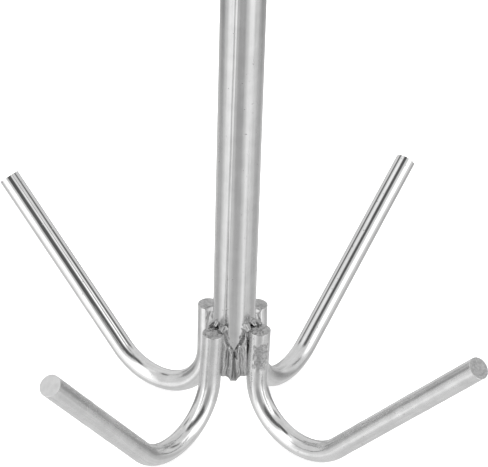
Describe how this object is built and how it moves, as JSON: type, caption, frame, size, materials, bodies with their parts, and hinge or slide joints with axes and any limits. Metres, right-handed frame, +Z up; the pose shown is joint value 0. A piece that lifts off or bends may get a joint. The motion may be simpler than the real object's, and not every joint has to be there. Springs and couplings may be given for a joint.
{
  "type": "grapnel anchor",
  "caption": "Welded steel grapnel anchor: a tube shank with bent round-bar flukes around its foot and a line ring swinging in a hole near its top.",
  "frame": {"origin": "centre of the shank's flat foot face, 44 mm above the floor that the flukes' bends stand on", "axes": "+Z up along the shank towards the ring; +X to the right and -Y towards the viewer, with a fluke in each quadrant between them"},
  "size_m": [0.2874, 0.2861, 0.5],
  "materials": {
    "fluke_bar": "bright zinc plating on smooth round bar, near mirror with drawing streaks",
    "shank_tube": "satin galvanised tube with faint lengthways streaks, small pits and a seam line",
    "weld_metal": "rough rippled weld metal under the same zinc",
    "ring_bar": "zinc-plated round bar, slightly worn"
  },
  "bodies": {
    "anchor": {"shank_tube": "shank_tube", "shank_foot_cap": "shank_tube", "shank_foot_cap_weld": "weld_metal", "shank_top_cap": "shank_tube", "shank_top_cap_weld": "weld_metal", "fluke_front_left": "fluke_bar", "fluke_front_right": "fluke_bar", "fluke_back_left": "fluke_bar", "fluke_back_right": "fluke_bar", "weld_front_left_anticlockwise": "weld_metal", "weld_front_left_clockwise": "weld_metal", "weld_front_right_anticlockwise": "weld_metal", "weld_front_right_clockwise": "weld_metal", "weld_back_left_anticlockwise": "weld_metal", "weld_back_left_clockwise": "weld_metal", "weld_back_right_anticlockwise": "weld_metal", "weld_back_right_clockwise": "weld_metal"},
    "ring": {"anchor_ring": "ring_bar", "anchor_ring_weld": "weld_metal"}
  },
  "joints": [
    {"name": "ring_swing", "type": "hinge", "parent": "anchor", "child": "ring", "pos_m": [0, 0, 0.436], "axis": [1, 0, 0], "range_deg": [0, 330]}
  ]
}
